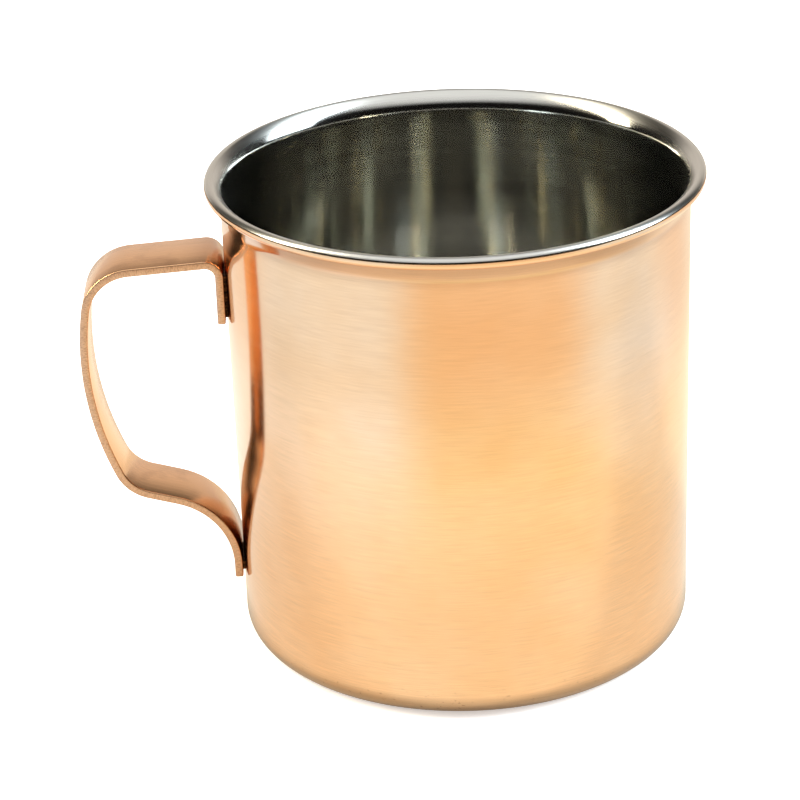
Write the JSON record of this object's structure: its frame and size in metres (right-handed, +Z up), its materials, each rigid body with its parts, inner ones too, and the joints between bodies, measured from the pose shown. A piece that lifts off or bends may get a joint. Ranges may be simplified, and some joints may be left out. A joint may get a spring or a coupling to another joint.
{
  "type": "copper mug",
  "caption": "Straight-sided drinking mug: brushed copper shell over a steel liner, with a rolled steel lip and a flat bent copper strap handle.",
  "frame": {"origin": "middle of the flat face that the mug stands on, on the axis of the cup", "axes": "+Z up along the cup's axis; the handle stands out along -X; the mug is its own mirror image across the XZ plane"},
  "size_m": [0.1165, 0.092, 0.092],
  "materials": {
    "brushed_copper": "copper sheet, brushed round the wall with fine level lines and lacquered",
    "brushed_stainless": "stainless sheet, brushed round the inside, with a polished rolled lip",
    "strap_copper": "flat copper strap, satin faces and sheared edges",
    "braze_filler": "thin brazed filler, dull"
  },
  "bodies": {
    "root": {"copper_shell": "brushed_copper", "steel_liner": "brushed_stainless", "handle_strap": "strap_copper", "upper_braze_pad": "braze_filler", "lower_braze_pad": "braze_filler"}
  },
  "joints": []
}
